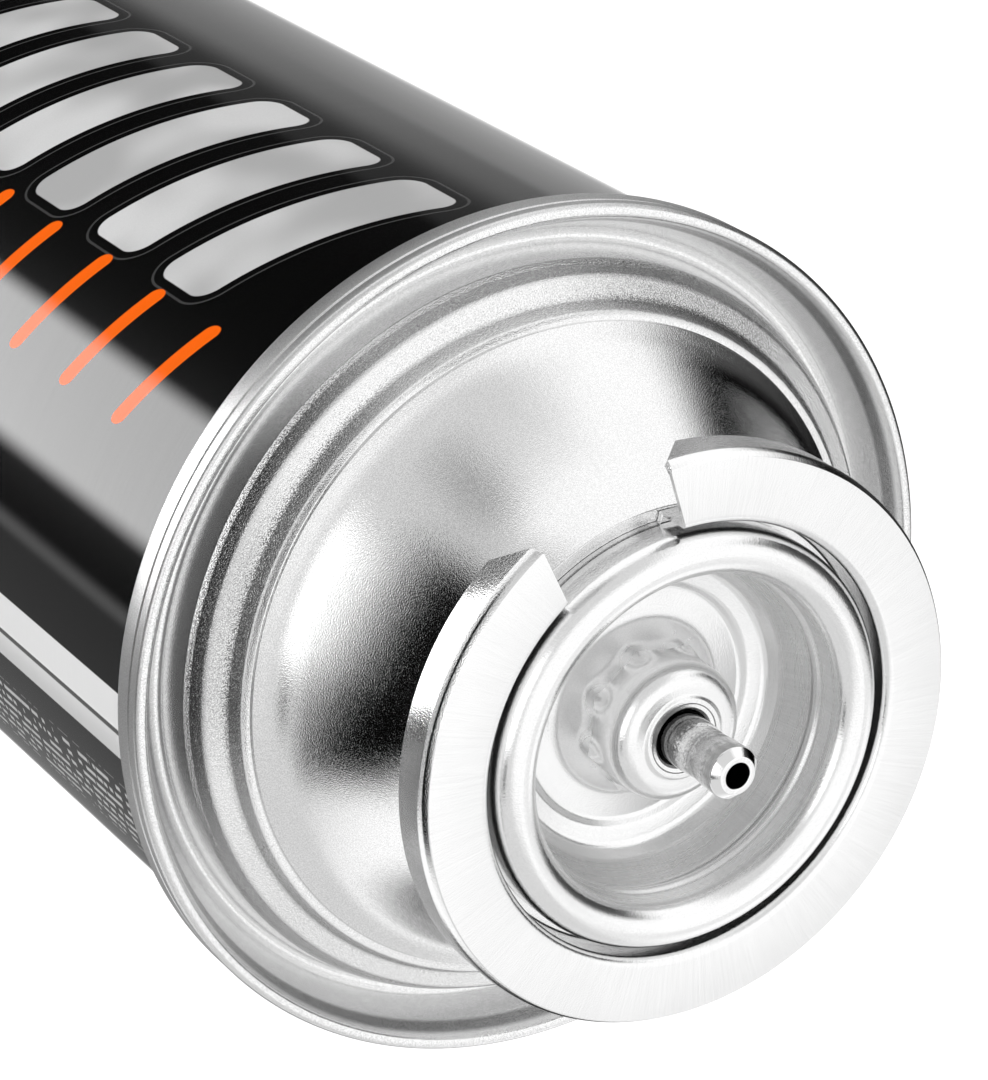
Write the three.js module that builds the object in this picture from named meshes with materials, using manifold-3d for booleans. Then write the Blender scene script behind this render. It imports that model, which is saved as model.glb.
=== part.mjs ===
// Fuel canister: a sealed gas can on its base, with a notched bayonet collar and a press-in valve on top.
// Millimetres, +Z up. The origin is the middle of the base, where the can stands.
import * as THREE from 'three';
import { mergeVertices } from 'three/addons/utils/BufferGeometryUtils.js';
import Module from 'manifold-3d';

const wasm = await Module();
wasm.setup();

// Driving dimensions: the can and its two double seams
const bodyRadius = 33;
const canHeight = 163.3;
const seamOverhang = 1.5;
const seamThickness = 1.5;
const seamHeight = 3.25;
const seamFootSlope = 0.45;
const seamTopRounding = 0.62;
const seamBaseRounding = 0.45;
const seamFootRounding = 0.3;
const seamHookRounding = 0.35;
const chuckWallLean = 1.4;
const chuckWallDepth = 4.1;
const chuckFootRounding = 0.35;
const baseRise = 7;
const baseRounding = 0.4;

// Driving dimensions: the dome, from the seam inwards
const grooveWidth = 1;
const grooveDepth = 0.45;
const grooveRounding = 0.5;
const flankRun = 4.15;
const flankRise = 5.6;
const ridgeStep = 0.85;
const ridgeInset = 0.15;
const ridgeRounding = 0.3;
const shoulderRun = 1.85;
const shoulderRise = 1.2;
const shoulderRounding = 2.5;
const domeHeight = 16.9;
const throatRun = 1.6;
const throatDrop = 4.7;
const throatRounding = 8;
const sweepRun = 4;
const sweepDrop = 9.8;
const sweepRounding = 6;

// Driving dimensions: the neck and the curl round its mouth
const shelfWidth = 0.4;
const shelfRounding = 0.35;
const neckFootRounding = 0.15;
const curlCentreRadius = 14.65;
const curlRadius = 1;
const curlRise = 2.6;
const mouthRelief = 0.55;
const mouthReliefRise = 1.4;
const mouthReliefSlope = 0.6;
const mouthReliefRounding = 0.2;

// Driving dimensions: the mounting cup
const sheetThickness = 0.4;
const clinchDepth = 3.5;
const clinchInset = 0.45;
const clinchSlope = 0.5;
const clinchRounding = 0.6;
const bulgeDepth = 4.5;
const bulgeOut = 0.2;
const cupFloorInset = 1.4;
const cupFloorDepth = 8.05;
const cupCornerOut = 0.35;
const cupCornerIn = 0.3;
const cupCornerRise = 1;
const cupCornerRounding = 0.8;
const floorStepInset = 1.7;
const floorFall = 0.225;
const floorStep = 0.45;
const floorStepRun = 0.5;
const floorRounding = 0.6;
const pedestalRadius = 5.4;
const pedestalFlare = 1.5;
const pedestalHeight = 6.75;
const pedestalRounding = 1.6;
const pedestalFootRun = 0.25;
const pedestalFootRise = 1.7;
const pedestalFootRounding = 0.9;
const holeRadius = 2.45;
const holeLipWidth = 0.5;
const holeLipHeight = 0.25;
const holeLipFoot = 0.85;
const holeLipRounding = 0.5;
const crimpCount = 8;
const crimpDepth = 0.6;
const crimpHeight = 2.7;
const crimpBand = 0.95;
const crimpTurn = THREE.MathUtils.degToRad(17.5);

// Driving dimensions: the collar
const collarRadius = 22.3;
const collarHeight = 3.75;
const collarSkirtLength = 3.6;
const collarOuterRounding = 0.9;
const collarInnerRounding = 0.7;
const lipRounding = 0.15;
const notchWidth = 10.4;
const notchFlare = 0.65;
const notchFlareLength = 1.3;
const notchFlareBend = 0.3;

// Driving dimensions: the valve
const stemRadius = 2.03;
const stemBoreRadius = 1.02;
const stemReach = 7.15;
const stemChamfer = 0.57;
const stemTipRounding = 0.1;
const stemEdgeRounding = 0.15;
const stemFlangeThickness = 1.1;
const stemSpigotLength = 1.5;
const stemSpigotChamfer = 0.3;
const stemBoreFloor = 0.2;
const stemPortRadius = 0.3;
const gasketThickness = 0.75;
const gasketShoulder = 0.35;
const gasketShoulderShare = 0.4;
const cupGasketThickness = 0.25;
const housingLength = 12;
const housingWall = 0.5;
const housingFloor = 2;
const housingFlangeHeight = 1.85;
const housingFlangeSlope = 0.4;
const housingRounding = 0.3;
const tailRadius = 1.85;
const tailBoreRadius = 0.9;
const tailLength = 4;
const springWire = 0.5;
const springTurns = 6.5;

// Clearances between pieces
const seatGap = 0.05;
const foldGap = 0.1;
const runningGap = 0.07;
const lipGap = 0.15;
const collarGap = 0.2;
const notchFloorGap = 0.1;
const pocketGap = 0.25;
const crimpGap = 0.4;
const flangeGap = 0.4;
const springGap = 0.7;
const fillGap = 0.5;
const cutMargin = 1;

// How finely round stretches are cut
const canSegments = 32;
const valveSegments = 24;
const arcStep = THREE.MathUtils.degToRad(46);
const slightTurn = THREE.MathUtils.degToRad(20);
const baseDomeSteps = 5;
const wireSides = 6;
const portSides = 12;
const notchCurveSteps = 4;
const stepsPerTurn = 12;

// Radii worked out from the driving dimensions
const seamRadius = bodyRadius + seamOverhang;
const chuckTopRadius = seamRadius - seamThickness;
const chuckFootRadius = chuckTopRadius - chuckWallLean;
const ridgeRadius = chuckFootRadius - grooveWidth - flankRun;
const neckRadius = curlCentreRadius + curlRadius;
const mouthRadius = curlCentreRadius - curlRadius;
const cupFoldInside = curlRadius + cupGasketThickness + foldGap;
const cupFold = cupFoldInside + sheetThickness;
const cupSkirtRadius = curlCentreRadius + cupFold;
const collarBoreRadius = cupSkirtRadius + collarGap + sheetThickness;
const collarMidRadius = 0.5 * (collarRadius + collarBoreRadius);
const shelfRadius = collarBoreRadius + shelfWidth;
const cupWallRadius = curlCentreRadius - cupFold;
const cupFloorRadius = cupWallRadius - cupFloorInset;
const floorStepRadius = cupFloorRadius - floorStepInset;
const pedestalInside = pedestalRadius - sheetThickness;
const housingRadius = pedestalInside - crimpDepth - crimpGap;
const housingFlangeRadius = pedestalInside - 2 * foldGap;
const housingBoreRadius = housingRadius - housingWall;
const stemFlangeRadius = housingBoreRadius - flangeGap;
const springRadius = housingBoreRadius - springGap - springWire / 2;
const stemSpigotRadius = springRadius - springWire / 2 - crimpGap;

// Heights worked out from the driving dimensions, above the base
const grooveFloor = canHeight - chuckWallDepth - grooveDepth;
const ridgeFoot = grooveFloor + flankRise;
const ridgeTop = ridgeFoot + ridgeStep;
const shelfTop = canHeight + domeHeight;
const lipBottom = shelfTop + seatGap;
const lipTop = lipBottom + sheetThickness;
const collarTop = lipBottom + collarHeight;
const curlCentre = shelfTop + curlRise;
const cupTop = curlCentre + cupFold;
const cupFloor = cupTop - cupFloorDepth;
const cupFloorLow = cupFloor - floorFall - floorStep;
const pedestalTop = cupFloorLow + pedestalHeight;
const crimpCentre = cupFloorLow + crimpHeight;
const gasketTop = pedestalTop - sheetThickness - seatGap;
const gasketBottom = gasketTop - gasketThickness;
const housingTop = gasketBottom - seatGap;
const housingBottom = housingTop - housingLength;
const cavityFloor = housingBottom + housingFloor;
const stemTip = pedestalTop + stemReach;
const stemFlangeTop = gasketBottom - foldGap;
const stemFlangeBottom = stemFlangeTop - stemFlangeThickness;
const fillLevel = cupFloorLow - sheetThickness - fillGap;

// Replaces each corner [radius, height, rounding] that has a rounding by an arc, limited by its two sides
function roundedPath(corners) {
  const path = [];
  corners.forEach(([x, y, rounding = 0], index) => {
    const corner = new THREE.Vector2(x, y);
    const before = corners[index - 1];
    const after = corners[index + 1];
    if (!rounding || !before || !after) {
      path.push(corner);
      return;
    }
    const back = new THREE.Vector2(before[0] - x, before[1] - y);
    const ahead = new THREE.Vector2(after[0] - x, after[1] - y);
    const room = Math.min(...[before, after].map(([nextX, nextY, nextRounding = 0]) => (
      (0.998 * rounding * Math.hypot(nextX - x, nextY - y)) / (rounding + nextRounding)
    )));
    back.normalize();
    ahead.normalize();
    const opening = Math.acos(THREE.MathUtils.clamp(back.dot(ahead), -1, 1));
    const turn = Math.PI - opening;
    if (turn < slightTurn) {
      path.push(corner);
      return;
    }
    const reach = Math.min(room, rounding * Math.tan(turn / 2));
    const radius = reach / Math.tan(turn / 2);
    const middle = back.clone().add(ahead).normalize();
    const centre = corner.clone().addScaledVector(middle, radius / Math.sin(opening / 2));
    const start = corner.clone().addScaledVector(back, reach).sub(centre);
    const side = Math.sign(ahead.cross(back));
    const steps = Math.max(1, Math.ceil(turn / arcStep));
    for (let step = 0; step <= steps; step += 1) {
      const spoke = start.clone().rotateAround(new THREE.Vector2(), (side * turn * step) / steps);
      path.push(centre.clone().add(spoke));
    }
  });
  return path;
}

// The closed section of a folded sheet: its outer face, and the same face one thickness to its left
function foldedSheet(corners, thickness) {
  const face = roundedPath(corners);
  const inner = face.map((point, index) => {
    const from = face[Math.max(index - 1, 0)];
    const to = face[Math.min(index + 1, face.length - 1)];
    const into = point.clone().sub(from);
    const out = to.clone().sub(point);
    if (index === 0) into.copy(out);
    if (index === face.length - 1) out.copy(into);
    into.normalize();
    out.normalize();
    const along = into.clone().add(out).normalize();
    const left = new THREE.Vector2(-along.y, along.x);
    return point.clone().addScaledVector(left, thickness / along.dot(into));
  });
  return [...face, ...inner.reverse(), face[0].clone()];
}

// Merges a geometry into one closed skin of plain triangles that faces outwards
function closedSkin(geometry) {
  geometry.deleteAttribute('normal');
  geometry.deleteAttribute('uv');
  const skin = mergeVertices(geometry, 1e-5);
  const points = skin.getAttribute('position');
  const index = skin.getIndex().array;
  const [a, b, c] = [new THREE.Vector3(), new THREE.Vector3(), new THREE.Vector3()];
  const kept = [];
  let volume = 0;
  for (let i = 0; i < index.length; i += 3) {
    const [ia, ib, ic] = [index[i], index[i + 1], index[i + 2]];
    if (ia === ib || ib === ic || ic === ia) continue;
    kept.push([ia, ib, ic]);
    a.fromBufferAttribute(points, ia);
    b.fromBufferAttribute(points, ib);
    c.fromBufferAttribute(points, ic);
    volume += a.dot(b.cross(c));
  }
  skin.setIndex(kept.flatMap(([ia, ib, ic]) => (volume < 0 ? [ia, ic, ib] : [ia, ib, ic])));
  skin.computeVertexNormals();
  return skin;
}

// Turns a section of Vector2(radius, height) points round the Z axis
function turned(section, segments) {
  return closedSkin(new THREE.LatheGeometry(section, segments).rotateX(Math.PI / 2));
}

function toManifold(geometry) {
  const vertProperties = new Float32Array(geometry.getAttribute('position').array);
  const triVerts = new Uint32Array(geometry.getIndex().array);
  return new wasm.Manifold(new wasm.Mesh({ numProp: 3, vertProperties, triVerts }));
}

function fromManifold(solid) {
  const { vertProperties, triVerts } = solid.getMesh();
  const geometry = new THREE.BufferGeometry();
  geometry.setAttribute('position', new THREE.BufferAttribute(new Float32Array(vertProperties), 3));
  geometry.setIndex([...triVerts]);
  return closedSkin(geometry);
}

function cut(geometry, ...tools) {
  const solid = tools.reduce((rest, tool) => rest.subtract(toManifold(tool)), toManifold(geometry));
  return fromManifold(solid);
}

// The double seam that joins an end to the side wall, from the wall to the foot of the chuck wall.
// level is the height of its rim, and up is 1 for the top seam and -1 for the base seam.
function doubleSeam(level, up, rimRounding) {
  return [
    [bodyRadius, level - up * (seamHeight + seamFootSlope), seamFootRounding],
    [seamRadius, level - up * seamHeight, seamHookRounding],
    [seamRadius, level, rimRounding],
    [chuckTopRadius, level, rimRounding],
    [chuckFootRadius, level - up * chuckWallDepth, chuckFootRounding],
  ];
}

// The concave base end, from the axis out to its chuck wall
function baseDome() {
  const edge = chuckFootRadius - grooveWidth;
  const points = [];
  for (let step = 0; step < baseDomeSteps; step += 1) {
    const share = step / baseDomeSteps;
    points.push([edge * share, chuckWallDepth + grooveDepth + baseRise * (1 - share * share)]);
  }
  points.push([edge, chuckWallDepth + grooveDepth, baseRounding]);
  return points;
}

// The sealed vessel with its contents: side wall, base end, domed top, neck and the pocket for the valve
function canBody() {
  const pocketRadius = housingRadius + pocketGap;
  const tailPocketRadius = tailRadius + pocketGap;
  const pocketStep = housingBottom - pocketGap;
  return turned(roundedPath([
    ...baseDome(),
    ...doubleSeam(0, -1, seamBaseRounding).reverse(),
    ...doubleSeam(canHeight, 1, seamTopRounding),
    [chuckFootRadius - grooveWidth, grooveFloor, grooveRounding],
    [ridgeRadius, ridgeFoot, ridgeRounding],
    [ridgeRadius - ridgeInset, ridgeTop, ridgeRounding],
    [ridgeRadius - shoulderRun, ridgeTop + shoulderRise, shoulderRounding],
    [shelfRadius + sweepRun, shelfTop - sweepDrop, sweepRounding],
    [shelfRadius + throatRun, shelfTop - throatDrop, throatRounding],
    [shelfRadius, shelfTop, shelfRounding],
    [neckRadius, shelfTop, neckFootRounding],
    [neckRadius, curlCentre + curlRadius, curlRadius],
    [mouthRadius, curlCentre + curlRadius, curlRadius],
    [mouthRadius, shelfTop + mouthReliefRise, mouthReliefRounding],
    [mouthRadius + mouthRelief, shelfTop + mouthReliefRise - mouthReliefSlope, mouthReliefRounding],
    [mouthRadius + mouthRelief, fillLevel, mouthReliefRounding],
    [pocketRadius, fillLevel],
    [pocketRadius, pocketStep],
    [tailPocketRadius, pocketStep],
    [tailPocketRadius, housingBottom - tailLength - pocketGap],
    [0, housingBottom - tailLength - pocketGap],
  ]), canSegments);
}

// Presses a ring of crimps into the pedestal, which hold the valve housing's flange
function crimped(geometry) {
  const points = geometry.getAttribute('position');
  const outermost = pedestalRadius + 0.5 * pedestalFlare;
  for (let i = 0; i < points.count; i += 1) {
    const [x, y, z] = [points.getX(i), points.getY(i), points.getZ(i)];
    const radius = Math.hypot(x, y);
    const offset = Math.abs(z - crimpCentre) / crimpBand;
    if (radius > outermost || offset >= 1) continue;
    const across = Math.cos(0.5 * crimpCount * (Math.atan2(y, x) - crimpTurn)) ** 2;
    const inset = crimpDepth * Math.cos(0.5 * Math.PI * offset) * across;
    points.setXY(i, x * (1 - inset / radius), y * (1 - inset / radius));
  }
  geometry.computeVertexNormals();
  return geometry;
}

// The pressed cup clinched over the can's curl, with its floor and the pedestal that holds the valve
function mountingCup() {
  return crimped(turned(foldedSheet([
    [cupSkirtRadius, lipTop + foldGap],
    [cupSkirtRadius, cupTop, cupFold],
    [cupWallRadius, cupTop, cupFold],
    [cupWallRadius, cupTop - clinchDepth + clinchSlope, clinchRounding],
    [cupWallRadius - clinchInset, cupTop - clinchDepth, clinchRounding],
    [cupWallRadius + bulgeOut, cupTop - bulgeDepth, clinchRounding],
    [cupFloorRadius + cupCornerOut, cupFloor + cupCornerRise, cupCornerRounding],
    [cupFloorRadius - cupCornerIn, cupFloor, cupCornerRounding],
    [floorStepRadius, cupFloor - floorFall, floorRounding],
    [floorStepRadius - floorStepRun, cupFloorLow, floorRounding],
    [pedestalRadius + pedestalFlare, cupFloorLow, pedestalFootRounding],
    [pedestalRadius + pedestalFootRun, cupFloorLow + pedestalFootRise, pedestalFootRounding],
    [pedestalRadius, crimpCentre - 0.5 * crimpBand],
    [pedestalRadius, crimpCentre],
    [pedestalRadius, crimpCentre + 0.5 * crimpBand],
    [pedestalRadius, crimpCentre + crimpBand],
    [pedestalRadius, pedestalTop, pedestalRounding],
    [holeRadius + holeLipFoot, pedestalTop, holeLipRounding],
    [holeRadius + holeLipWidth, pedestalTop + holeLipHeight, holeLipRounding],
    [holeRadius, pedestalTop + holeLipHeight],
  ], sheetThickness), canSegments));
}

// The plan of the notch that keys the can in its holder, centred on -Y and flared at the collar's edge
function notchPlan(nearRadius) {
  const half = 0.5 * notchWidth;
  const farRadius = collarRadius + cutMargin;
  const straightEnd = collarRadius - notchFlareLength;
  const bend = collarRadius - notchFlareBend * notchFlareLength;
  const plan = new THREE.Shape();
  plan.moveTo(half, -nearRadius);
  plan.lineTo(half, -straightEnd);
  plan.quadraticCurveTo(half, -bend, half + notchFlare, -collarRadius);
  plan.lineTo(half + notchFlare, -farRadius);
  plan.lineTo(-half - notchFlare, -farRadius);
  plan.lineTo(-half - notchFlare, -collarRadius);
  plan.quadraticCurveTo(-half, -bend, -half, -straightEnd);
  plan.lineTo(-half, -nearRadius);
  return plan;
}

function notchTool(nearRadius, bottom) {
  const depth = collarTop + cutMargin - bottom;
  const options = { depth, bevelEnabled: false, curveSegments: notchCurveSteps };
  const tool = new THREE.ExtrudeGeometry(notchPlan(nearRadius), options);
  return closedSkin(tool.translate(0, 0, bottom));
}

// The collar crimped round the cup: skirt, flat top and inner wall, with a lip on the can's shelf
function bayonetCollar() {
  const ring = turned(foldedSheet([
    [collarRadius, collarTop - collarSkirtLength],
    [collarRadius, collarTop, collarOuterRounding],
    [collarBoreRadius, collarTop, collarInnerRounding],
    [collarBoreRadius, lipTop, lipRounding],
    [neckRadius + lipGap, lipTop],
  ], sheetThickness), canSegments);
  const wallNotch = notchTool(neckRadius, lipTop + notchFloorGap);
  const skirtNotch = notchTool(collarMidRadius, collarTop - collarSkirtLength - cutMargin);
  return cut(ring, wallNotch, skirtNotch);
}

// The sleeve gasket between the can's curl and the cup
function cupGasket() {
  const outer = curlRadius + seatGap + cupGasketThickness;
  return turned(foldedSheet([
    [curlCentreRadius + outer, curlCentre],
    [curlCentreRadius + outer, curlCentre + outer, outer],
    [curlCentreRadius - outer, curlCentre + outer, outer],
    [curlCentreRadius - outer, curlCentre],
  ], cupGasketThickness), canSegments);
}

// The rubber ring that seals the stem under the pedestal's top
function stemGasket() {
  const inner = stemRadius + runningGap;
  return turned(roundedPath([
    [inner, gasketBottom],
    [housingFlangeRadius - foldGap, gasketBottom],
    [housingFlangeRadius - gasketShoulder, gasketBottom + gasketShoulderShare * gasketThickness],
    [pedestalRadius - pedestalRounding, gasketTop],
    [inner, gasketTop],
    [inner, gasketBottom],
  ]), valveSegments);
}

// The stem: a bored tip, a flange that closes against the gasket, and a spigot in the spring
function valveStem() {
  const boreFloor = stemFlangeTop + stemBoreFloor;
  const spigotFoot = stemFlangeBottom - stemSpigotLength;
  const stem = turned(roundedPath([
    [0, boreFloor],
    [stemBoreRadius, boreFloor],
    [stemBoreRadius, stemTip],
    [stemRadius - stemChamfer, stemTip, stemTipRounding],
    [stemRadius, stemTip - stemChamfer, stemEdgeRounding],
    [stemRadius, stemFlangeTop],
    [stemFlangeRadius, stemFlangeTop],
    [stemFlangeRadius, stemFlangeBottom],
    [stemSpigotRadius, stemFlangeBottom],
    [stemSpigotRadius, spigotFoot + stemSpigotChamfer],
    [stemSpigotRadius - stemSpigotChamfer, spigotFoot],
    [0, spigotFoot],
  ]), valveSegments);
  const port = new THREE.CylinderGeometry(stemPortRadius, stemPortRadius, 2 * stemRadius, portSides);
  const portHeight = gasketBottom + 0.5 * gasketThickness;
  return cut(stem, closedSkin(port.rotateZ(Math.PI / 2).translate(stemRadius, 0, portHeight)));
}

// The coil that pushes the stem up against its gasket
function valveSpring() {
  const bottom = cavityFloor + seatGap + springWire / 2;
  const top = stemFlangeBottom - seatGap - springWire / 2;
  class Coil extends THREE.Curve {
    getPoint(share, target = new THREE.Vector3()) {
      const angle = 2 * Math.PI * springTurns * share;
      return target.set(
        springRadius * Math.cos(angle),
        springRadius * Math.sin(angle),
        THREE.MathUtils.lerp(bottom, top, share),
      );
    }
  }
  const wire = new THREE.Shape();
  for (let side = 0; side < wireSides; side += 1) {
    const angle = (2 * Math.PI * side) / wireSides;
    const [x, y] = [0.5 * springWire * Math.cos(angle), 0.5 * springWire * Math.sin(angle)];
    if (side) wire.lineTo(x, y);
    else wire.moveTo(x, y);
  }
  const steps = Math.round(springTurns * stepsPerTurn);
  return closedSkin(new THREE.ExtrudeGeometry(wire, { steps, extrudePath: new Coil(), bevelEnabled: false }));
}

// The moulded housing crimped into the pedestal, open to the gasket above and to its tail below
function valveHousing() {
  const flangeFoot = housingTop - housingFlangeHeight;
  return turned(roundedPath([
    [housingBoreRadius, housingTop],
    [housingFlangeRadius, housingTop],
    [housingFlangeRadius, flangeFoot],
    [housingRadius, flangeFoot - housingFlangeSlope],
    [housingRadius, housingBottom, housingRounding],
    [tailRadius, housingBottom],
    [tailRadius, housingBottom - tailLength],
    [tailBoreRadius, housingBottom - tailLength],
    [tailBoreRadius, cavityFloor],
    [housingBoreRadius, cavityFloor],
    [housingBoreRadius, housingTop],
  ]), valveSegments);
}

const printedTinplate = { color: 0x17181a, metalness: 0.2, roughness: 0.3 };
const bareTinplate = { color: 0xc9cbce, metalness: 1, roughness: 0.28 };
const polishedSteel = { color: 0xd6d7da, metalness: 1, roughness: 0.16 };
const springSteel = { color: 0xa8abb0, metalness: 1, roughness: 0.3 };
const blackRubber = { color: 0x141414, metalness: 0, roughness: 0.7 };
const greyRubber = { color: 0x4a4a4c, metalness: 0, roughness: 0.7 };
const whitePlastic = { color: 0xe6e4dc, metalness: 0, roughness: 0.5 };

function piece(name, geometry, finish) {
  const mesh = new THREE.Mesh(geometry, new THREE.MeshStandardMaterial(finish));
  mesh.name = name;
  return mesh;
}

const canister = new THREE.Group();
canister.name = 'fuel_canister';
canister.add(
  piece('can_body', canBody(), printedTinplate),
  piece('mounting_cup', mountingCup(), bareTinplate),
  piece('cup_gasket', cupGasket(), greyRubber),
  piece('bayonet_collar', bayonetCollar(), bareTinplate),
  piece('valve_housing', valveHousing(), whitePlastic),
  piece('stem_gasket', stemGasket(), blackRubber),
  piece('valve_stem', valveStem(), polishedSteel),
  piece('valve_spring', valveSpring(), springSteel),
);

export default canister;
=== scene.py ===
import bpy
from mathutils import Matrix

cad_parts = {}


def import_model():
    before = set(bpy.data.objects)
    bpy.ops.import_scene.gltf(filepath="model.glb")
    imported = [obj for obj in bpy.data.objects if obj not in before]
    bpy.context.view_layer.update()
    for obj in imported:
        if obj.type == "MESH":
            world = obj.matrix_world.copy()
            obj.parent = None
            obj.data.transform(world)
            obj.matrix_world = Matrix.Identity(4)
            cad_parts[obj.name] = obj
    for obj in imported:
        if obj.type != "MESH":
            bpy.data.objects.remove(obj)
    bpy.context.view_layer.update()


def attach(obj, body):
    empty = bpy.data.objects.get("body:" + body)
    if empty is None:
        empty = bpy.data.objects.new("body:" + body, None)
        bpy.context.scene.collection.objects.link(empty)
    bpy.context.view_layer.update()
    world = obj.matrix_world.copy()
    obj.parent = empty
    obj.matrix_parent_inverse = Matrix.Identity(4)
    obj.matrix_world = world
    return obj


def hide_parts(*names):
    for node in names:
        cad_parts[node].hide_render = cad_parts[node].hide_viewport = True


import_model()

import math

import bpy
from mathutils import Euler, Vector

# Fuel canister, dressed: printed can, bare tinplate ends, notched collar, crimped cup and polished stem.
# Lengths are in millimetres up to the point where a mesh is written, and heights are above the base.
MM = 0.001
DEGREES = 180 / math.pi

# The can
BODY_RADIUS = 33.0
SEAM_RADIUS = 34.5
SEAM_HEIGHT = 3.25
CAN_TOP = 163.3
PLATE = 0.3
SIDE_WALL = 0.2

# The rings of the top end, from the seam inwards: (radius, depth below the top of the seam), and the half width too
# for the roll mark
ROLL_MARK = (34.41, 1.34, 0.16)
SEAM_BORE = 33.55
WALL_HEAD = (33.0, 1.26)
WALL_FOOT = (31.6, 4.1)
GROOVE = (30.6, 4.55)
FLANK_HEAD = (29.95, 1.65)
BEAD_SHOULDER = (29.6, 1.25)
BEAD_OUTER = (29.12, 0.0)
BEAD_INNER = (27.45, -0.4)
RIDGE_RADIUS = 26.87
DOME_FOOT = (24.5, -2.95)

# The dome and its neck
DOME_MIDDLE = (21.4, 170.4)
DOME_HEAD = (19.0, 175.5)
SHELF_RADIUS = 17.4
SHELF_TOP = 180.2
NECK_RADIUS = 15.65
CURL_RADIUS = 1.0
CURL_CENTRE = (14.65, 182.8)

# The base: (radius, height) of its groove, and the rise of its dome over that
BASE_GROOVE = (30.6, 4.55)
BASE_RISE = 7

# The mounting cup
CUP_SHEET = 0.4
CUP_RADIUS = 16.4
CUP_FOOT = 180.75
CUP_TOP = 184.55
CUP_FOLD = 1.75
CUP_BORE = 12.9
CUP_WAIST = 12.45
CUP_BULGE = 13.1
CUP_FLOOR = 176.5
CUP_GUTTER = 175.825
PEDESTAL_FOOT = 5.75
PEDESTAL_RADIUS = 5.4
PEDESTAL_TOP = 182.575
PEDESTAL_SPREAD = 0.28
EYELET_RADIUS = 3.1
HOLE_RADIUS = 2.2
CRIMPS = 8
CRIMP_EDGE = 178.75
CRIMP_LENGTH = 2.3
CRIMP_DEPTH = 0.9
CRIMP_CORNER = 0.6
CRIMP_SPREAD = 1.5
CRIMP_REACH = 2.2
CRIMP_FADE = 4.5
CRIMP_TURN = math.radians(17.4)

# The collar
COLLAR_RADIUS = 22.3
COLLAR_BORE = 17.0
COLLAR_TOP = 184.0
COLLAR_SHEET = 0.4
SKIRT_LENGTH = 3.6
LIP_TOP = 180.65
LIP_BORE = 15.8
NOTCH_HALF = 5.2
NOTCH_FLARE = 0.65
NOTCH_FLARE_LENGTH = 1.3
NOTCH_CORNER = 3.4
NOTCH_FLOOR_RADIUS = 16.45
NOTCH_STEPS = 24

# The valve
STEM_RADIUS = 2.03
STEM_BORE = 1.02
STEM_TIP = 189.725
STEM_CHAMFER = 0.57
STEM_WAIST_DEPTH = 0.13
STEM_FLANGE = (3.1, 180.175, 181.275)
STEM_TAIL_RADIUS = 1.9
STEM_SMEAR = (182.0, 184.7)
STEM_WAIST = (185.7, 187.9)
GASKET = (2.1, 4.7, 181.375, 182.125)

# The print: each row of bars is (middle in degrees, height of the top bar, bars, spacing, half width across the
# can, half height, corner radius), each stripe is (first degree, last degree)
PRINT_SLANT = 0.42
SILVER_BARS = (-90.0, 147.2, 9, 11.6, 9.8, 3.7, 1.7)
ORANGE_DASHES = (-62.6, 149.0, 8, 9.2, 5.2, 0.85, 0.8)
BROAD_STRIPE = (-22.6, -17.1)
NARROW_STRIPE = (-16.3, -12.6)
WELD_STRIP = (115.6, 118.4)
ROW_PANELS = ((-7.5, 6.0), (-151.0, -138.0))
ROW_HEIGHTS = (20.5, 156.5)
ROW_SPACING = 1.75
SILVER_EDGE = (0.75, 0.95)
ORANGE = (1.0, 0.14, 0.0, 1.0)

# Where dark reflections and shade are painted on the ends, in degrees round the can
NEAR_DARK_REFLECTION = (-77.0, -17.0)
NEAR_MIDDLE_DARK_REFLECTION = (-54.0, -17.0)
SIDE_DARK_REFLECTION = (-160.0, -120.0)
SEAM_DARK_REFLECTION = (-172.0, -122.0)
WALL_SHADE = (-68.0, -2.0)

# How finely the round pieces are cut
CAN_STEPS = 288
CUP_STEPS = 256
STEM_STEPS = 96
ARC_STEP = math.radians(9)
CREASE = math.radians(38)


def rounded(corners):
    """The path through corners (radius, height, rounding), with an arc wherever a rounding is given."""
    path = []
    for index, corner in enumerate(corners):
        here = Vector(corner[:2])
        rounding = corner[2] if len(corner) > 2 else 0
        if not rounding or index in (0, len(corners) - 1):
            path.append(here)
            continue
        rooms = []
        for other in (corners[index - 1], corners[index + 1]):
            theirs = other[2] if len(other) > 2 else 0
            rooms.append(0.998 * rounding * (Vector(other[:2]) - here).length / (rounding + theirs))
        back = (Vector(corners[index - 1][:2]) - here).normalized()
        ahead = (Vector(corners[index + 1][:2]) - here).normalized()
        opening = math.acos(max(-1.0, min(1.0, back.dot(ahead))))
        turn = math.pi - opening
        if turn < 0.01:
            path.append(here)
            continue
        reach = min(*rooms, rounding * math.tan(turn / 2))
        radius = reach / math.tan(turn / 2)
        centre = here + (back + ahead).normalized() * radius / math.sin(opening / 2)
        spoke = here + back * reach - centre
        side = math.copysign(turn, ahead.x * back.y - ahead.y * back.x)
        steps = max(2, math.ceil(turn / ARC_STEP))
        for step in range(steps + 1):
            angle = side * step / steps
            path.append(centre + Vector((
                spoke.x * math.cos(angle) - spoke.y * math.sin(angle),
                spoke.x * math.sin(angle) + spoke.y * math.cos(angle))))
    return path


def folded(corners, thickness):
    """The outer face of a folded sheet, and its inner face one thickness to the left of the way it runs."""
    face = rounded(corners)
    inner = []
    for index, point in enumerate(face):
        before = face[max(index - 1, 0)]
        after = face[min(index + 1, len(face) - 1)]
        into = (point - before) if index else (after - point)
        out = (after - point) if index < len(face) - 1 else (point - before)
        along = (into.normalized() + out.normalized()).normalized()
        inner.append(point + Vector((-along.y, along.x)) * thickness / along.dot(into.normalized()))
    return face, inner


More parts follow.
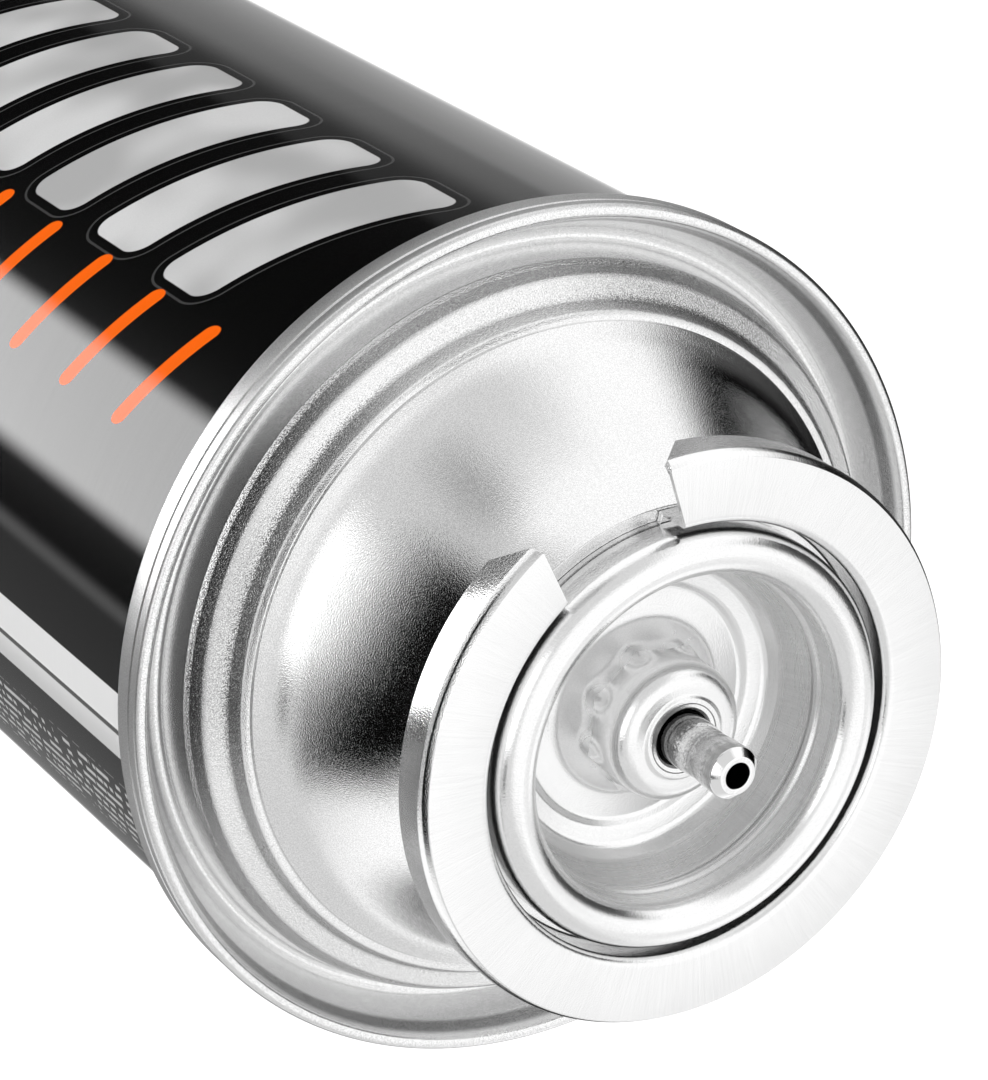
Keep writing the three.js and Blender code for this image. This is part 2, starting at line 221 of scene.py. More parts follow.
def written(name, points, faces):
    """A shaded mesh object from points in millimetres."""
    mesh = bpy.data.meshes.new(name)
    mesh.from_pydata([tuple(axis * MM for axis in point) for point in points], [], faces)
    mesh.validate()
    mesh.shade_smooth()
    mesh.set_sharp_from_angle(angle=CREASE)
    made = bpy.data.objects.new(name, mesh)
    bpy.context.scene.collection.objects.link(made)
    return made


def turned(name, section, steps, closed=True, change=None):
    """A section turned round the upright axis. change moves single points, for crimps and the like."""
    points, rings, faces = [], [], []
    for radius, height in section:
        count = 1 if radius < 1e-6 else steps
        rings.append(range(len(points), len(points) + count))
        for step in range(count):
            angle = 2 * math.pi * step / steps
            point = Vector((radius * math.cos(angle), radius * math.sin(angle), height))
            points.append(change(point) if change else point)
    pairs = list(zip(rings, rings[1:]))
    if closed:
        pairs.append((rings[-1], rings[0]))
    for low, high in pairs:
        for step in range(steps):
            after = (step + 1) % steps
            if len(low) == 1 and len(high) == 1:
                continue
            if len(low) == 1:
                faces.append((low[0], high[after], high[step]))
            elif len(high) == 1:
                faces.append((low[step], low[after], high[0]))
            else:
                faces.append((low[step], low[after], high[after], high[step]))
    return written(name, points, faces)


class Value:
    """A number that runs through a shader, so that shader maths reads as plain expressions."""

    def __init__(self, graph, socket):
        self.graph = graph
        self.socket = socket

    def __add__(self, other):
        return self.graph.maths("ADD", self, other)

    def __sub__(self, other):
        return self.graph.maths("SUBTRACT", self, other)

    def __rsub__(self, other):
        return self.graph.maths("SUBTRACT", other, self)

    def __mul__(self, other):
        return self.graph.maths("MULTIPLY", self, other)

    def __truediv__(self, other):
        return self.graph.maths("DIVIDE", self, other)

    __radd__ = __add__
    __rmul__ = __mul__


class Graph:
    """The nodes of one material, or of the world."""

    def __init__(self, tree):
        self.tree = tree
        tree.nodes.clear()

    def node(self, kind, settings=None, values=None):
        made = self.tree.nodes.new(kind)
        for key, value in (settings or {}).items():
            if key == "stops":
                self.set_stops(made.color_ramp, value)
            else:
                setattr(made, key, value)
        for key, value in (values or {}).items():
            self.feed(made.inputs[key], value)
        return made

    def set_stops(self, ramp, stops):
        while len(ramp.elements) < len(stops):
            ramp.elements.new(1.0)
        for element, (place, colour) in zip(ramp.elements, stops):
            element.position = place
            element.color = colour

    def feed(self, socket, value):
        if isinstance(value, Value):
            value = value.socket
        if isinstance(value, bpy.types.NodeSocket):
            self.tree.links.new(value, socket)
        else:
            socket.default_value = value

    def out(self, kind, settings=None, values=None, output=0):
        return Value(self, self.node(kind, settings, values).outputs[output])

    def maths(self, operation, *values):
        return self.out("ShaderNodeMath", {"operation": operation}, dict(enumerate(values)))

    def most(self, first, second):
        return self.maths("MAXIMUM", first, second)

    def ramp(self, value, low, high):
        """0 below low and 1 above high, with a smooth rise between them. low may be above high."""
        return self.out("ShaderNodeMapRange", {"interpolation_type": "SMOOTHSTEP"},
                        {"Value": value, "From Min": low, "From Max": high})

    def between(self, value, low, high, soft):
        """1 between low and high, with soft edges."""
        return self.ramp(value, low - soft, low + soft) * (1 - self.ramp(value, high - soft, high + soft))

    def within(self, value, soft, *spans):
        """1 inside any of the spans, with soft edges."""
        parts = [self.between(value, *span, soft) for span in spans]
        return sum(parts[1:], parts[0])

    def mix(self, factor, first, second):
        made = self.node("ShaderNodeMix", {"data_type": "RGBA"})
        for socket, value in zip((made.inputs[0], made.inputs[6], made.inputs[7]), (factor, first, second)):
            self.feed(socket, value)
        return Value(self, made.outputs[2])

    def vector(self, x, y, z):
        return self.out("ShaderNodeCombineXYZ", None, {"X": x, "Y": y, "Z": z})

    def noise(self, vector, scale, detail=2.0, roughness=0.5):
        return self.out("ShaderNodeTexNoise", None,
                        {"Vector": vector, "Scale": scale, "Detail": detail, "Roughness": roughness})

    def bump(self, height, distance, strength=1.0, normal=None):
        values = {"Height": height, "Distance": distance, "Strength": strength}
        if normal:
            values["Normal"] = normal
        return self.out("ShaderNodeBump", None, values)


class Finish(Graph):
    """A material with one Principled shader, and the place of a point in the can's own round coordinates."""

    def __init__(self, name, **constants):
        self.material = bpy.data.materials.new(name)
        self.material.use_nodes = True
        super().__init__(self.material.node_tree)
        self.shader = self.node("ShaderNodeBsdfPrincipled", None, constants)
        output = self.node("ShaderNodeOutputMaterial")
        self.tree.links.new(self.shader.outputs[0], output.inputs["Surface"])
        self.place = self.out("ShaderNodeTexCoord", None, None, 3)
        apart = self.node("ShaderNodeSeparateXYZ", None, {"Vector": self.place})
        # In millimetres, so that a scale below is in features per millimetre
        self.x, self.y, self.z = (Value(self, apart.outputs[axis]) * 1000.0 for axis in range(3))
        self.radius = self.maths("SQRT", self.x * self.x + self.y * self.y)
        # The direction from the axis, which has no join where the angle starts again
        self.east = self.x / self.most(self.radius, 0.01)
        self.north = self.y / self.most(self.radius, 0.01)

    def angle(self):
        """Degrees round the can, from -180 to 180, starting at +X."""
        return self.maths("ARCTAN2", self.y, self.x) * DEGREES

    def spokes(self, across, along, detail=2.0, roughness=0.6):
        """Streaks that run up a wall or out from the axis: across is their density round the can."""
        run = (self.radius + self.z) * along
        return self.noise(self.vector(self.east * across, self.north * across, run), 1.0, detail, roughness)

    def rings(self, across, along, detail=2.0, roughness=0.6):
        """Streaks that run round the can: across is their density over radius and height, per millimetre."""
        run = (self.radius + self.z * 0.83) * across
        return self.noise(self.vector(self.east * along, self.north * along, run), 1.0, detail, roughness)

    def grain(self, per_mm, detail=2.0, roughness=0.5):
        return self.noise(self.place, per_mm * 1000.0, detail, roughness)

    def specks(self):
        """Fine separate specks, from 0 to 1."""
        return self.ramp(self.grain(12.0, 1.0), 0.36, 0.64)

    def metal(self, tone):
        """The colour of a metal that sends back this share of the light."""
        return self.mix(tone, grey(0.0), grey(1.0))

    def set(self, **values):
        for key, value in values.items():
            self.feed(self.shader.inputs[key.replace("_", " ")], value)
        return self.material


def grey(level):
    return (level, level, level, 1.0)


def end_tinplate():
    """The drawn ends: a grain that breaks every edge of a reflection, coarser on the bead, a scored flank, and
    painted dark reflections and shade.
    """
    finish = Finish("end_tinplate", Metallic=1.0)
    radius, height, angle = finish.radius, finish.z, finish.angle()
    peel = finish.grain(10.5, 1.0)
    specks = finish.specks()
    scores = finish.spokes(260.0, 0.12)
    cloud = finish.grain(0.15, 2.0, 0.6)
    above_base = finish.ramp(height, 158.0, 159.0)

    drawn = finish.between(radius, 26.6, 29.7, 0.2)
    flank = finish.between(radius, 29.7, 31.9, 0.15) * finish.between(height, 157.0, 161.9, 0.2)
    seam_wall = finish.ramp(radius, 34.2, 34.4)
    lip = finish.between(radius, 32.75, 33.25, 0.12) * finish.ramp(height, 161.2, 161.6)
    # Painted shade: the chuck wall is darkened over one span round the can.
    wall_shade = finish.between(radius, 31.5, 33.0, 0.2) * finish.between(angle, *WALL_SHADE, 14.0) * above_base

    # The painted dark reflections on the bead end in loose specks
    frayed = radius + (finish.grain(12.0, 1.0) - 0.5) * 1.7
    steps = finish.between(frayed, 29.05, 29.7, 0.2) + finish.between(frayed, 26.8, 27.55, 0.2)
    middle = finish.between(frayed, 27.5, 29.1, 0.3) * above_base
    side_dark_reflection = finish.between(angle, *SIDE_DARK_REFLECTION, 12.0)
    # Painted dark reflections: the bead's steps are darkened a little all round and more over the near and side
    # spans, and the seam wall and the middle of the bead over spans of their own.
    painted_dark_reflections = steps * (0.15 + 0.85 * (finish.between(angle, *NEAR_DARK_REFLECTION, 9.0) + side_dark_reflection))
    painted_dark_reflections = painted_dark_reflections + seam_wall * finish.between(angle, *SEAM_DARK_REFLECTION, 18.0) * 0.75
    painted_dark_reflections = painted_dark_reflections + middle * (finish.between(angle, *NEAR_MIDDLE_DARK_REFLECTION, 10.0) * 0.45 + side_dark_reflection * 0.6)

    tone = 0.82 + flank * (0.1 - scores * 0.16)
    tone = tone - seam_wall * (0.04 + peel * 0.2) - lip * (0.34 + specks * 0.3)
    tone = (tone + (scores - 0.5) * 0.06 + (cloud - 0.5) * 0.06) * (1 - wall_shade * 0.75)
    tone = tone * (0.86 + specks * 0.2) * (1 - painted_dark_reflections * (0.78 - specks * 0.5))
    rough = 0.09 + cloud * 0.05 + flank * 0.1 + seam_wall * 0.22
    normal = finish.bump(peel * (0.7 + drawn * 1.5), 0.00002, 1.0)
    normal = finish.bump(scores, 0.000003, 1.0, normal)
    return finish.set(Base_Color=finish.metal(tone), Roughness=rough, Normal=normal)


def cup_tinplate():
    """The pressed cup: brushed round its floor, with short upright scores on its walls."""
    finish = Finish("cup_tinplate", Metallic=1.0)
    scores = finish.spokes(120.0, 0.15)
    rings = finish.rings(5.0, 1.2)
    peel = finish.grain(9.0, 1.0)
    cloud = finish.grain(0.3, 2.0, 0.6)
    wall = finish.between(finish.radius, 11.9, 13.1, 0.15)
    foot = finish.between(finish.radius, 4.9, 7.3, 0.3) * finish.ramp(finish.z, 178.9, 178.3)
    specks = finish.specks()

    tone = 0.8 - wall * (scores * 0.2) - foot * 0.02 + specks * 0.06
    tone = tone + (rings - 0.5) * 0.06 + (cloud - 0.5) * 0.06
    rough = 0.12 + rings * 0.08 + wall * 0.12 + foot * 0.12
    normal = finish.bump(peel, 0.00001, 1.0)
    normal = finish.bump(scores, 0.00001, 0.6, normal)
    return finish.set(Base_Color=finish.metal(tone), Roughness=rough, Normal=normal)


def row_of_bars(finish, middle, start, count, period, half_across, half_along, corner):
    """How far a point lies outside a row of slanted rounded bars, in millimetres. The first bar is at start."""
    across = (finish.angle() - middle) * (BODY_RADIUS / DEGREES)
    run = finish.z - start + across * PRINT_SLANT
    along = finish.maths("WRAP", run, period / 2, -period / 2)
    out_across = finish.most(finish.maths("ABSOLUTE", across) - (half_across - corner), 0.0)
    out_along = finish.most(finish.maths("ABSOLUTE", along) - (half_along - corner), 0.0)
    out = finish.maths("SQRT", out_across * out_across + out_along * out_along) - corner
    last = -period * (count - 0.5)
    ends = finish.ramp(run, period / 2, period / 2 + 0.01) + finish.ramp(run, last, last - 0.01)
    return out + ends * 10.0


def broken_rows(finish):
    """Rows of short marks that run up the can, each row broken in its own way."""
    across = finish.angle() / ROW_SPACING
    row = finish.maths("FLOOR", across)
    marks = finish.noise(finish.vector(finish.z * 1.5, row * 7.3, row * 3.1), 1.0, 0.0)
    rows = finish.between(across - row, 0.3, 0.7, 0.12) * finish.ramp(marks, 0.44, 0.48)
    rows = rows * finish.within(finish.angle(), 0.3, *ROW_PANELS)
    return rows * finish.between(finish.z, *ROW_HEIGHTS, 0.5)


def printed_tinplate():
    """Black gloss print: slanted silver bars, a row of orange dashes, a pair of pale stripes and fine broken rows."""
    finish = Finish("printed_tinplate", **{"Coat Roughness": 0.05, "IOR": 1.45, "Specular IOR Level": 0.03})
    bars = row_of_bars(finish, *SILVER_BARS)
    silver = finish.ramp(bars, 0.06, -0.06)
    edge = finish.between(bars, *SILVER_EDGE, 0.06)
    orange = finish.ramp(row_of_bars(finish, *ORANGE_DASHES), 0.05, -0.05)
    stripes = finish.within(finish.angle(), 0.12, BROAD_STRIPE)
    stripes = stripes + finish.within(finish.angle(), 0.12, NARROW_STRIPE) * 0.75
    weld = finish.within(finish.angle(), 0.1, WELD_STRIP)
    drift = finish.grain(0.09, 1.0)
    specks = finish.grain(9.0, 1.0)
    lines = finish.rings(4.5, 1.2, 1.0)

    silver_shade = finish.mix(finish.ramp(drift, 0.35, 0.65), grey(0.5), grey(0.82))
    colour = finish.mix(edge, grey(0.0012), grey(0.05))
    colour = finish.mix(silver, colour, finish.mix(specks * 0.3, silver_shade, grey(0.5)))
    colour = finish.mix(orange, colour, ORANGE)
    colour = finish.mix(stripes, colour, grey(0.85))
    colour = finish.mix(broken_rows(finish) * 0.75, colour, grey(0.75))
    colour = finish.mix(weld, colour, finish.mix(specks, grey(0.3), grey(0.42)))
    return finish.set(Base_Color=colour, Roughness=0.32 + specks * 0.1,
                      Coat_Weight=1.0 - lines * 0.08 - orange * 0.5, Metallic=silver * 0.12,
                      Normal=finish.bump(lines, 0.000012, 1.0))


def collar_tinplate():
    """The collar: close straight spokes and a fine grain."""
    finish = Finish("collar_tinplate", Metallic=1.0)
    spokes = finish.spokes(150.0, 0.2)
    peel = finish.grain(9.0, 1.0)
    cloud = finish.grain(0.2, 2.0, 0.6)
    tone = 0.81 + (spokes - 0.5) * 0.1 + (cloud - 0.5) * 0.06 + finish.specks() * 0.04
    normal = finish.bump(peel, 0.000012, 1.0)
    normal = finish.bump(spokes, 0.000004, 1.0, normal)
    return finish.set(Base_Color=finish.metal(tone), Roughness=0.11 + spokes * 0.08, Normal=normal)


def polished_steel():
    """The stem: turned, smeared where it slides through its seal, and duller over its waist."""
    finish = Finish("polished_steel", Metallic=1.0)
    rings = finish.rings(6.0, 1.5)
    grain = finish.grain(5.0, 2.0, 0.6)
    specks = finish.specks()
    edge = finish.z + (grain - 0.5) * 1.6
    smear = finish.between(edge, *STEM_SMEAR, 0.4)
    waist = finish.between(edge, *STEM_WAIST, 0.4)
    tone = 0.84 - smear * (0.72 - specks * 0.14) - waist * (0.42 - specks * 0.16)
    normal = finish.bump(grain, 0.000006, 1.0, finish.bump(rings, 0.000008, 1.0))
    return finish.set(Base_Color=finish.metal(tone), Roughness=0.05 + grain * 0.05, Normal=normal)


def spring_steel():
    """The spring inside the housing: plain drawn wire."""
    finish = Finish("spring_steel", Metallic=1.0)
    grain = finish.grain(6.0)
    return finish.set(Base_Color=finish.metal(0.45 + grain * 0.2), Roughness=0.28 + grain * 0.1,
                      Normal=finish.bump(grain, 0.00001, 0.5))


def rubber(name, dark, pale):
    """Moulded rubber with a fine grain, between two greys."""
    finish = Finish(name, IOR=1.5)
    grain = finish.grain(7.0, 3.0, 0.6)
    return finish.set(Base_Color=finish.mix(grain, grey(dark), grey(pale)), Roughness=0.5 + grain * 0.25,
                      Normal=finish.bump(grain, 0.00003, 0.6))


def housing_plastic():
    """The valve housing: cloudy off-white plastic with faint flow marks."""
    finish = Finish("housing_plastic", IOR=1.49)
    grain = finish.grain(2.5, 3.0, 0.6)
    flow = finish.rings(0.8, 0.6)
    colour = finish.mix(flow, (0.74, 0.72, 0.66, 1.0), (0.80, 0.79, 0.74, 1.0))
    return finish.set(Base_Color=colour, Roughness=0.4 + grain * 0.15, Normal=finish.bump(grain, 0.00002, 0.5))


def joined(name, corners, thickness):
    """A folded sheet turned round the upright axis."""
    face, inner = folded(corners, thickness)
    return turned(name, face + inner[::-1], CAN_STEPS)


def side_wall():
    """The printed wall, from seam to seam."""
    foot, head = SEAM_HEIGHT + 0.2, CAN_TOP - SEAM_HEIGHT - 0.2
    section = [Vector((BODY_RADIUS, foot)), Vector((BODY_RADIUS, head)),
               Vector((BODY_RADIUS - SIDE_WALL, head)), Vector((BODY_RADIUS - SIDE_WALL, foot))]
    return turned("side_wall", section, CAN_STEPS)


def top_end():
    """The top end: double seam with its roll mark, chuck wall, flank, drawn bead, ridge, dome, neck and curl."""
    def ring(place, rounding):
        return (place[0], CAN_TOP - place[1], rounding)

    mark_radius, mark_depth, mark_half = ROLL_MARK
    return joined("top_end", [
        (BODY_RADIUS + 0.05, CAN_TOP - (SEAM_HEIGHT + 0.45)),
        ring((BODY_RADIUS + 0.35, SEAM_HEIGHT + 0.4), 0.2),
        ring((SEAM_RADIUS, SEAM_HEIGHT), 0.45),
        ring((SEAM_RADIUS, mark_depth + mark_half), 0.1),
        ring((mark_radius, mark_depth), 0.06),
        ring((SEAM_RADIUS, mark_depth - mark_half), 0.1),
        ring((SEAM_RADIUS, 0), 0.5),
        ring((SEAM_BORE, 0), 0.42),
        ring(WALL_HEAD, 0.5),
        ring(WALL_FOOT, 0.35),
        ring(GROOVE, 0.5),
        ring(FLANK_HEAD, 0.3),
        ring(BEAD_SHOULDER, 0.3),
        ring(BEAD_OUTER, 0.6),
        ring(BEAD_INNER, 0.6),
        ring((RIDGE_RADIUS, -1.7), 0.18),
        ring((RIDGE_RADIUS - 0.67, -1.75), 0.1),
        ring((RIDGE_RADIUS - 0.75, -2.0), 0.1),
        ring(DOME_FOOT, 8),
        (*DOME_MIDDLE, 30),
        (*DOME_HEAD, 24),
        (SHELF_RADIUS, SHELF_TOP, 0.35),
        (NECK_RADIUS, SHELF_TOP, 0.15),
        (NECK_RADIUS, CURL_CENTRE[1] + CURL_RADIUS, CURL_RADIUS),
        (CURL_CENTRE[0] - CURL_RADIUS, CURL_CENTRE[1] + CURL_RADIUS, CURL_RADIUS),
        (CURL_CENTRE[0] - CURL_RADIUS, CURL_CENTRE[1] - 0.6),
    ], PLATE)


def base_end():
    """The base: a plain seam and a shallow dome that keeps clear of the ground."""
    radius, height = BASE_GROOVE
    dome = [(radius * share, height + BASE_RISE * (1 - share * share))
            for share in (0, 0.15, 0.3, 0.45, 0.6, 0.75, 0.88)]
    return joined("base_end", [
        *dome,
        (radius, height, 0.5),
        (WALL_FOOT[0], WALL_FOOT[1], 0.35),
        (WALL_HEAD[0], 0.0, 0.45),
        (SEAM_RADIUS, 0.0, 0.45),
        (SEAM_RADIUS, SEAM_HEIGHT, 0.45),
        (BODY_RADIUS + 0.35, SEAM_HEIGHT + 0.4, 0.2),
        (BODY_RADIUS + 0.05, SEAM_HEIGHT + 0.45),
    ], PLATE)


def crimp(point):
    """Presses the crimps into the pedestal: its side spreads to an eight-sided edge, and is pinched in below that."""
    radius = math.hypot(point.x, point.y)
    depth = CRIMP_EDGE - point.z
    on_pedestal = CRIMP_FADE <= radius <= PEDESTAL_RADIUS + CRIMP_REACH
    if not on_pedestal or not -CRIMP_SPREAD < depth < CRIMP_LENGTH:
        return point
    flat = abs(math.cos(0.5 * CRIMPS * (math.atan2(point.y, point.x) - CRIMP_TURN)))
    if depth <= 0:
        change = CRIMP_CORNER * (1 - flat) * (1 + depth / CRIMP_SPREAD) ** 2
    else:
        run_out = 1 - depth / CRIMP_LENGTH
        change = CRIMP_CORNER * (1 - flat) * run_out ** 2
        change -= CRIMP_DEPTH * min(1.0, depth / 0.16) * run_out ** 1.4 * (0.25 + 0.75 * flat ** 1.5)
    return Vector((point.x * (1 + change / radius), point.y * (1 + change / radius), point.z))


def mounting_cup():
    """The cup: folded over the curl, down its crimped wall, across its floor and up the pedestal to the eyelet."""
    # The rows lie close together at the crimp edge, so that the crimps keep their shape
    flare = [(PEDESTAL_RADIUS + PEDESTAL_SPREAD * step / 8, CRIMP_EDGE + 0.04 - 0.12 * step)
             for step in range(8, -1, -1)]
    side = [(PEDESTAL_RADIUS, CRIMP_EDGE + 0.3 * step) for step in range(1, 7)]
    face, inner = folded([
        (CUP_RADIUS, CUP_FOOT),
        (CUP_RADIUS, CUP_TOP, CUP_FOLD),
        (CUP_BORE, CUP_TOP, CUP_FOLD),
        (CUP_BORE, CUP_TOP - 3.0, 0.4),
        (CUP_WAIST, CUP_TOP - 3.5, 0.5),
        (CUP_BULGE, CUP_TOP - 4.5, 0.6),
        (11.85, CUP_FLOOR + 1, 0.5),
        (11.2, CUP_FLOOR, 0.8),
        (9.8, CUP_FLOOR - 0.225, 0.6),
        (9.3, CUP_GUTTER, 0.6),
        (6.9, CUP_GUTTER, 0.9),
        (PEDESTAL_FOOT, CUP_GUTTER + 1.5, 0.9),
        *flare,
        *side,
        (PEDESTAL_RADIUS, PEDESTAL_TOP, 1.5),
        (EYELET_RADIUS + 0.25, PEDESTAL_TOP, 0.35),
        (EYELET_RADIUS, PEDESTAL_TOP + 0.2, 0.2),
        (EYELET_RADIUS - 0.35, PEDESTAL_TOP + 0.22, 0.1),
        (EYELET_RADIUS - 0.4, PEDESTAL_TOP + 0.12, 0.08),
        (HOLE_RADIUS + 0.2, PEDESTAL_TOP + 0.12, 0.1),
        (HOLE_RADIUS, PEDESTAL_TOP - 0.06, 0.08),
        (HOLE_RADIUS, PEDESTAL_TOP - 0.3),
    ], CUP_SHEET)
    return turned("mounting_cup_shell", face + inner[::-1], CUP_STEPS, change=crimp)


def notch_half(radius, height):
    """Half the notch's width at a point of the collar's section: it widens at the fold and down the skirt."""
    flare = max(0.0, (radius - (COLLAR_RADIUS - NOTCH_FLARE_LENGTH)) / NOTCH_FLARE_LENGTH)
    half = NOTCH_HALF + NOTCH_FLARE * flare ** 2
    if radius > COLLAR_BORE + 2:
        depth = min(NOTCH_CORNER, max(0.0, COLLAR_TOP - COLLAR_SHEET - height))
        half += NOTCH_CORNER - math.sqrt(NOTCH_CORNER ** 2 - depth ** 2)
    return half


def collar_point(radius, height, share, in_notch=False):
    """A point of the collar: share runs from 0 to 1 round the sheet, or across the notch the other way."""
    half = math.asin(notch_half(radius, height) / radius)
    if in_notch:
        angle = -math.pi / 2 - half + 2 * half * share
    else:
        angle = -math.pi / 2 + half + (2 * math.pi - 2 * half) * share
    return Vector((radius * math.cos(angle), radius * math.sin(angle), height))


def bayonet_collar():
    """The collar: a folded sheet turned round the axis, open at the notch down to a lip that runs right round."""
    face, inner = folded([
        (COLLAR_RADIUS + 0.08, COLLAR_TOP - SKIRT_LENGTH),
        (COLLAR_RADIUS + 0.08, COLLAR_TOP - 0.95, 0.8),
        (COLLAR_RADIUS - 0.03, COLLAR_TOP - 0.45, 0.8),
        (COLLAR_RADIUS - 0.3, COLLAR_TOP, 0.16),
        (COLLAR_BORE, COLLAR_TOP, 0.7),
        (COLLAR_BORE, LIP_TOP, 0.15),
        (LIP_BORE, LIP_TOP),
    ], COLLAR_SHEET)
    cut = next(i for i, p in enumerate(face) if p.x < COLLAR_BORE + 0.01 and p.y < LIP_TOP + 0.3)
    loop = face + inner[::-1]
    size = len(loop)
    points, columns, faces = [], [], []
    for step in range(CAN_STEPS + 1):
        columns.append(range(len(points), len(points) + size))
        points += [collar_point(radius, height, step / CAN_STEPS) for radius, height in loop]
    for first, second in zip(columns, columns[1:]):
        for i in range(size):
            j = (i + 1) % size
            faces.append((first[i], second[i], second[j], first[j]))
    # The cut ends of the sheet, down to the lip
    for i in range(cut):
        end = (i, i + 1, size - 2 - i, size - 1 - i)
        faces.append([columns[0][k] for k in end])
        faces.append([columns[-1][k] for k in reversed(end)])
    # The lip, which bridges the notch
    lip = range(cut, size - cut)
    strips = [[columns[-1][i] for i in lip]]
    for step in range(1, NOTCH_STEPS):
        strips.append(range(len(points), len(points) + len(lip)))
        points += [collar_point(min(loop[i].x, NOTCH_FLOOR_RADIUS), loop[i].y, step / NOTCH_STEPS, True)
                   for i in lip]
    strips.append([columns[0][i] for i in lip])
    for first, second in zip(strips, strips[1:]):
        for i in range(len(lip)):
            j = (i + 1) % len(lip)
            faces.append((first[i], second[i], second[j], first[j]))
    return written("collar", points, faces)


def valve_stem():
    """The stem: a tube with a slight waist and a bevelled tip, and the flange that seals under the cup."""
    flange, flange_low, flange_high = STEM_FLANGE
    section = rounded([
        (0, flange_high + 0.2),
        (STEM_BORE, flange_high + 0.2),
        (STEM_BORE, STEM_TIP, 0.05),
        (STEM_RADIUS - STEM_CHAMFER, STEM_TIP, 0.12),
        (STEM_RADIUS, STEM_TIP - STEM_CHAMFER, 0.25),
        (STEM_RADIUS, 187.6, 2),
        (STEM_RADIUS - STEM_WAIST_DEPTH, 186.2, 2),
        (STEM_RADIUS, 184.4, 2),
        (STEM_RADIUS, flange_high),
        (flange, flange_high, 0.1),
        (flange, flange_low, 0.1),
        (STEM_TAIL_RADIUS, flange_low),
        (STEM_TAIL_RADIUS, flange_low - 1.2),
        (STEM_TAIL_RADIUS - 0.3, flange_low - 1.5),
        (0, flange_low - 1.5),
    ])
    return turned("stem", section, STEM_STEPS, closed=False)


def stem_gasket():
    """The ring that the stem slides through, chamfered on its upper side."""
    inner, outer, low, high = GASKET
    section = rounded([
        (inner, low), (outer, low, 0.1), (outer - 0.25, low + 0.3, 0.1), (3.8, high, 0.1),
        (inner, high, 0.12), (inner, low)])
    return turned("stem_seal", section[:-1], STEM_STEPS)


CAMERA_PLACE = (88.69343, -171.10698, 399.68962)
CAMERA_TURN = (-23.4525614, -30.4908801, 159.1760310)
CAMERA_LENS = 133.3732
FLOOR_HALF = 2500.0
FLOOR_LIFT = 0.35


def camera():
    """The photograph's own point of view."""
    data = bpy.data.cameras.new("camera")
    data.lens = CAMERA_LENS
    data.sensor_width = 36.0
    data.clip_start, data.clip_end = 0.01, 50.0
    made = bpy.data.objects.new("camera", data)
    made.location = [axis * MM for axis in CAMERA_PLACE]
    made.rotation_euler = Euler([math.radians(turn) for turn in CAMERA_TURN], "XYZ")
    bpy.context.scene.collection.objects.link(made)
    bpy.context.scene.camera = made


def floor():
    """The plain floor, lifted to white for the camera only, so that it throws no more light on the can."""
    half = FLOOR_HALF
    made = written("floor", [(-half, -half, 0), (half, -half, 0), (half, half, 0), (-half, half, 0)], [(0, 1, 2, 3)])
    made.visible_glossy = False
    made.visible_shadow = False
    finish = Finish("floor_white")
    seen = finish.out("ShaderNodeLightPath", None, None, 0)
    made.data.materials.append(finish.set(
        Base_Color=finish.mix(finish.grain(0.02), grey(0.86), grey(0.9)), Roughness=0.9,
        Emission_Color=grey(1.0), Emission_Strength=seen * FLOOR_LIFT))


# The studio round the can: (azimuth, half width, elevation, half height, softness, level) in degrees.
# Each card sets the level of the light from its part of the sky, over the ones before it.
STUDIO_LEVEL = 1.22
STUDIO_CARDS = [
    (-20, 110, 26, 30, 10, 0.8),
    (117, 26, 36, 11, 3, 1.0),
    (-34, 22, 28, 14, 6, 1.8),
    (0, 6, 26, 6, 4, 0.02),
    (-40, 50, -8, 16, 7, 0.7),
    (-91, 8, 4, 10, 6, 0.4),
    (-28, 40, -10, 15, 4, 0.0),
    (2, 18, -4, 12, 5, 0.0),
    (164, 26, 12, 20, 8, 0.08),
    (162, 26, -22, 30, 8, 0.0),
    (112, 56, -30, 13, 5, 0.04),
    (-10, 24, -40, 9, 6, 0.15),
    (-80, 81, -62, 16, 4, 0.0),
    (-166, 19, -62, 16, 3, 0.12),
    (165, 28, -68, 16, 8, 0.5),
    (20, 17, -60, 18, 3, 0.2),
    (70, 31, -60, 18, 5, 0.26),
    (-39.5, 20, -54, 14, 4, 5.5),
]


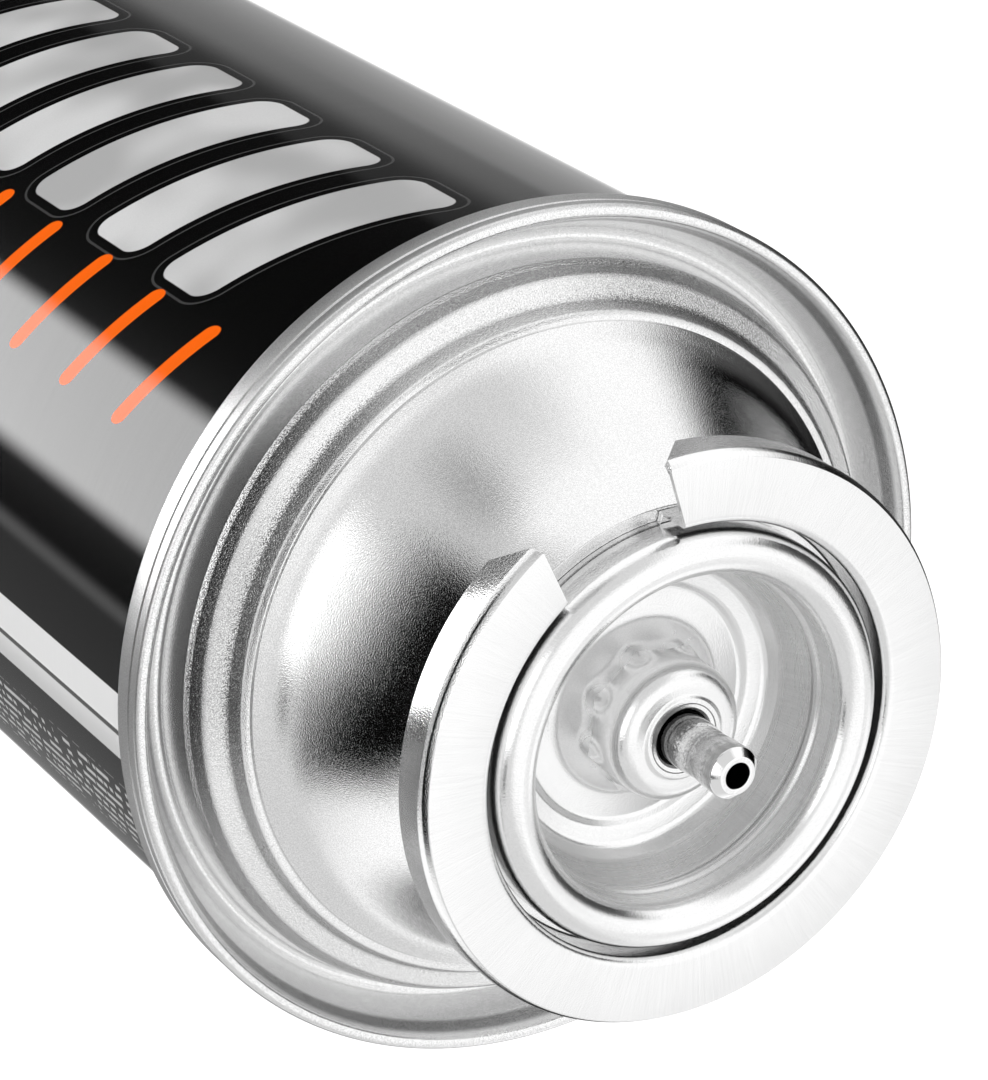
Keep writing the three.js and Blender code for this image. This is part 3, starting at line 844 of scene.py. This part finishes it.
def world():
    """White to the camera, and a studio of light and dark cards to everything else."""
    made = bpy.data.worlds.new("studio")
    bpy.context.scene.world = made
    made.use_nodes = True
    graph = Graph(made.node_tree)
    direction = graph.out("ShaderNodeTexCoord", None, None, 0)
    apart = graph.node("ShaderNodeSeparateXYZ", None, {"Vector": direction})
    x, y, z = (Value(graph, apart.outputs[axis]) for axis in range(3))
    azimuth = graph.maths("ARCTAN2", y, x) * DEGREES
    elevation = graph.maths("ARCSINE", z) * DEGREES
    level = STUDIO_LEVEL
    for middle, half_width, height, half_height, soft, card_level in STUDIO_CARDS:
        aside = graph.maths("ABSOLUTE", graph.maths("WRAP", azimuth - middle, 180.0, -180.0))
        above = graph.maths("ABSOLUTE", elevation - height)
        cover = graph.ramp(aside, half_width + soft, half_width - soft)
        cover = cover * graph.ramp(above, half_height + soft, half_height - soft)
        level = cover * card_level + (1 - cover) * level
    seen = graph.out("ShaderNodeLightPath", None, None, 0)
    strength = seen + (1 - seen) * level
    background = graph.node("ShaderNodeBackground", None, {"Color": grey(1.0), "Strength": strength})
    output = graph.node("ShaderNodeOutputWorld")
    graph.tree.links.new(background.outputs[0], output.inputs[0])


def dressed(made, material, body, slot, *nodes):
    """Gives a piece its finish and the body it rides on, and hides the solids that it stands for; slot is not used.
    """
    made.data.materials.append(material)
    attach(made, body)
    if nodes:
        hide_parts(*nodes)
    return made


def recoated(node, material):
    """Gives a CAD node its finish."""
    for slot in bpy.data.objects[node].material_slots:
        slot.material = material


camera()
floor()
world()

end_finish = end_tinplate()
dressed(side_wall(), printed_tinplate(), "can", "printed_tinplate", "can_body")
dressed(top_end(), end_finish, "can", "bare_tinplate", "can_body")
dressed(base_end(), end_finish, "can", "bare_tinplate", "can_body")
dressed(mounting_cup(), cup_tinplate(), "can", "bare_tinplate", "mounting_cup")
dressed(bayonet_collar(), collar_tinplate(), "can", "bare_tinplate", "bayonet_collar")
dressed(valve_stem(), polished_steel(), "stem", "polished_steel", "valve_stem")
dressed(stem_gasket(), rubber("black_rubber", 0.004, 0.02), "can", "black_rubber", "stem_gasket")
recoated("cup_gasket", rubber("gasket_rubber", 0.05, 0.09))
recoated("valve_housing", housing_plastic())
recoated("valve_spring", spring_steel())

bpy.context.scene.view_settings.view_transform = "Standard"
